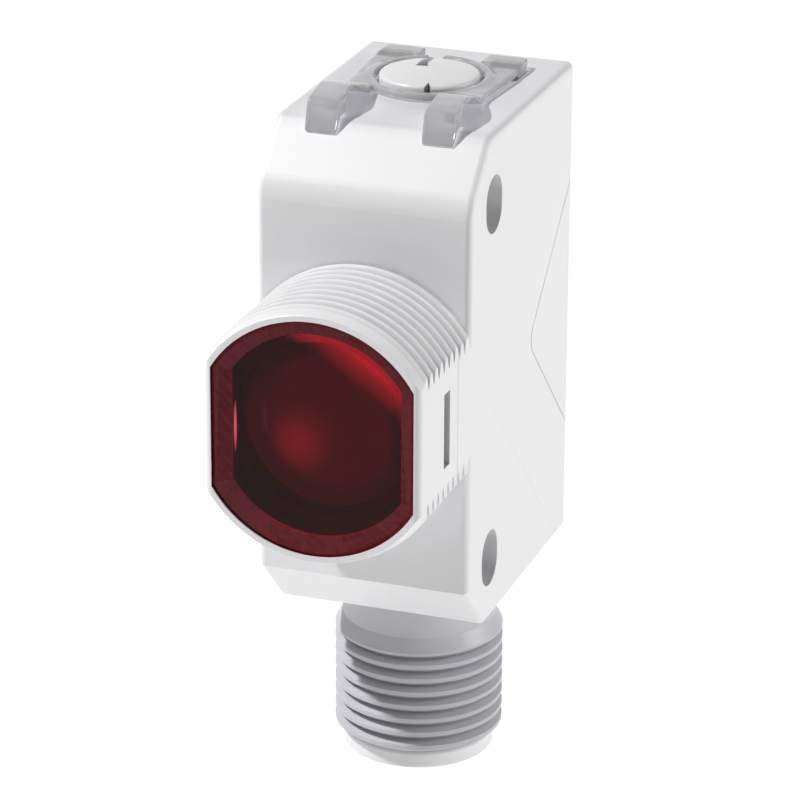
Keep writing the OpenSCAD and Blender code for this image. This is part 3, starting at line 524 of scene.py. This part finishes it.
def copyTree():
    # sets one shape on every point, turned as the point says
    tree = bpy.data.node_groups.new("copiesOnPoints", "GeometryNodeTree")
    for label, kind in (("Points", "NodeSocketGeometry"), ("Shape", "NodeSocketObject"),
                        ("Finish", "NodeSocketMaterial")):
        tree.interface.new_socket(label, in_out="INPUT", socket_type=kind)
    tree.interface.new_socket("Geometry", in_out="OUTPUT", socket_type="NodeSocketGeometry")
    given = addNode(tree, "NodeGroupInput")
    shape = addNode(tree, "GeometryNodeObjectInfo", inputs={"Object": given.outputs["Shape"]})
    turn = addNode(tree, "GeometryNodeInputNamedAttribute", {"data_type": "FLOAT_VECTOR"}, {
        "Name": "turn"})
    copies = addNode(tree, "GeometryNodeInstanceOnPoints", inputs={
        "Points": given.outputs["Points"], "Instance": shape.outputs["Geometry"],
        "Rotation": turn.outputs["Attribute"]})
    real = addNode(tree, "GeometryNodeRealizeInstances", inputs={"Geometry": copies.outputs[0]})
    painted = addNode(tree, "GeometryNodeSetMaterial", inputs={
        "Geometry": real.outputs[0], "Material": given.outputs["Finish"]})
    addNode(tree, "NodeGroupOutput", inputs={"Geometry": painted.outputs[0]})
    return tree


def addCopies(name, shape, places, tree, finish):
    # each place is a spot in millimetres, and a turn in degrees about the line from front to back
    points = bpy.data.meshes.new(name)
    points.from_pydata([[value * mm for value in spot] for spot, turn in places], [], [])
    turns = points.attributes.new("turn", "FLOAT_VECTOR", "POINT")
    for k, (spot, turn) in enumerate(places):
        turns.data[k].vector = (0, math.radians(turn), 0)
    piece = addObject(name, points)
    repeat = piece.modifiers.new("copies", "NODES")
    repeat.node_group = tree
    given = {item.name: item.identifier for item in tree.interface.items_tree
             if item.in_out == "INPUT"}
    repeat[given["Shape"]], repeat[given["Finish"]] = shape, finish
    bpy.context.view_layer.update()
    shown = piece.evaluated_get(bpy.context.evaluated_depsgraph_get())
    solid = bpy.data.meshes.new_from_object(shown)
    piece.modifiers.clear()
    piece.data = solid
    bpy.data.objects.remove(shape)
    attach(piece, "sensor")


leads, caps, solder = (boardParts[k] for k in ("chipLeads", "capacitorCaps", "pinSolder"))
copiesOnPoints = copyTree()
addCopies("chipLeads", leadShape(leads), [
    ((edge, 0, middle + (k - (count - 1) / 2) * leads["pitchMm"]), 0 if side > 0 else 180)
    for edge, side, middle, count in leads["rows"] for k in range(count)],
    copiesOnPoints, finishes["pinGold"])
addCopies("capacitorCaps", blockShape(caps), [
    ((caps["x"], caps["y"], caps["middle"] + k * caps["pitchMm"] + end * caps["reachMm"]), 0)
    for k in (-1, 0, 1) for end in (-1, 1)], copiesOnPoints, finishes["pinGold"])
addCopies("pinSolder", solderShape(solder), [
    ((solder["centre"][0] + solder["circleMm"] * math.cos(math.radians(angle)),
      solder["centre"][1] + solder["circleMm"] * math.sin(math.radians(angle)), solder["level"]), 0)
    for angle in solder["angles"]], copiesOnPoints, finishes["pinGold"])
print("board parts added")


# Directions round the sensor: azimuth 0 is in front of the nose, 90 beside the right side face

def directionAt(angles):
    azimuth, elevation = math.radians(angles["azimuth"]), math.radians(angles["elevation"])
    return Vector((math.sin(azimuth) * math.cos(elevation),
                   -math.cos(azimuth) * math.cos(elevation), math.sin(elevation)))


# Camera at the photograph's viewing angle

photoView = {
    "azimuth": 19.439, "elevation": 21.421, "roll": 0.273,  # degrees
    "aim": (0, 11, -2.6), "slide": (-1.185, -2.037), "distance": 276.046,  # mm
    "lens": 179.52, "clip": (10, 10000),  # mm
}


def addCamera(view):
    azimuth, roll = math.radians(view["azimuth"]), math.radians(view["roll"])
    back = directionAt(view)
    level = Vector((math.cos(azimuth), math.sin(azimuth), 0))
    upright = back.cross(level)
    right = level * math.cos(roll) + upright * math.sin(roll)
    up = upright * math.cos(roll) - level * math.sin(roll)
    eye = Vector(view["aim"]) + right * view["slide"][0] + up * view["slide"][1]
    eye += back * view["distance"]
    camera = addObject("photoCamera", bpy.data.cameras.new("photoCamera"))
    camera.data.lens = view["lens"]
    camera.data.clip_start, camera.data.clip_end = (value * mm for value in view["clip"])
    turn = Matrix((right, up, back)).transposed().to_4x4()
    camera.matrix_world = Matrix.Translation(eye * mm) @ turn
    bpy.context.scene.camera = camera


addCamera(photoView)


# Soft studio light over a bright floor

studio = {
    "ambient": 0.06,
    "lamps": {
        "keyLeft": {"azimuth": -63, "elevation": 52, "distance": 400, "size": 24, "power": 1.42},
        "sideRight": {"azimuth": 105, "elevation": 15, "distance": 400, "size": 200, "power": 0.76},
    },
    "floorDrop": 25, "floorSize": 3000,  # mm below the plug's end, mm across
    "floorColour": "#ececec", "fibreColour": "#efefef", "fibreMm": 25, "fibreDetail": 2.0,
    "floorLight": 0.39,  # what the paper gives off upwards, which fills the shadows
    "floorGlow": 0.85, "floorWhite": 1.15,  # share and strength of its white as seen
}


def addLamp(name, lamp, centre):
    back = directionAt(lamp)
    light = bpy.data.lights.new(name, "AREA")
    light.shape, light.size, light.energy = "DISK", lamp["size"] * mm, lamp["power"]
    holder = addObject(name, light)
    holder.location = centre + back * lamp["distance"] * mm
    holder.rotation_euler = back.to_track_quat("Z", "Y").to_euler()


def backgroundRay(tree):
    # 1 where the camera sees the surroundings, straight or in gloss and glass
    path = addNode(tree, "ShaderNodeLightPath").outputs
    seen = addMaths(tree, "MAXIMUM", path["Is Camera Ray"], path["Is Glossy Ray"])
    return addMaths(tree, "MAXIMUM", seen, path["Is Transmission Ray"])


def addSky(values):
    world = bpy.data.worlds.new("studioWorld")
    bpy.context.scene.world = world
    world.use_nodes = True
    tree = world.node_tree
    tree.nodes.clear()
    soft, white = (addNode(tree, "ShaderNodeBackground", inputs={
        "Color": srgb("#ffffff"), "Strength": strength}) for strength in (values["ambient"], 1.0))
    both = addNode(tree, "ShaderNodeMixShader", inputs={
        0: backgroundRay(tree), 1: soft.outputs[0], 2: white.outputs[0]})
    addNode(tree, "ShaderNodeOutputWorld", inputs={"Surface": both.outputs[0]})


def paperMaterial(name, values):
    # plain paper that lights the shadows from below and is seen as a nearly white ground
    material, tree, place = startMaterial(name)
    fibre = addNoise(tree, place, values["fibreMm"], values["fibreDetail"])
    plain = addNode(tree, "ShaderNodeBsdfDiffuse", inputs={"Color": addBlend(
        tree, fibre, srgb(values["floorColour"]), srgb(values["fibreColour"]))})
    fill, glow = (addNode(tree, "ShaderNodeEmission", inputs={
        "Color": srgb("#ffffff"), "Strength": values[k]}) for k in ("floorLight", "floorWhite"))
    under = addNode(tree, "ShaderNodeAddShader", inputs={0: plain.outputs[0], 1: fill.outputs[0]})
    lit = addNode(tree, "ShaderNodeMixShader", inputs={
        0: values["floorGlow"], 1: plain.outputs[0], 2: glow.outputs[0]})
    shown = addNode(tree, "ShaderNodeMixShader", inputs={
        0: backgroundRay(tree), 1: under.outputs[0], 2: lit.outputs[0]})
    endMaterial(tree, shown)
    return material


def addFloor(values):
    mesh = bpy.data.meshes.new("studioFloor")
    half, level = values["floorSize"] / 2 * mm, cadLow.z - values["floorDrop"] * mm
    corners = [(x * half, y * half, level) for x, y in ((-1, -1), (1, -1), (1, 1), (-1, 1))]
    mesh.from_pydata(corners, [], [(0, 1, 2, 3)])
    mesh.materials.append(paperMaterial("floorPaper", values))
    floor = addObject("studioFloor", mesh)


for lampName, lampValues in studio["lamps"].items():
    addLamp(lampName, lampValues, (cadLow + cadHigh) / 2)
addSky(studio)
addFloor(studio)
bpy.context.scene.view_settings.view_transform = "Standard"
print("camera and studio ready")
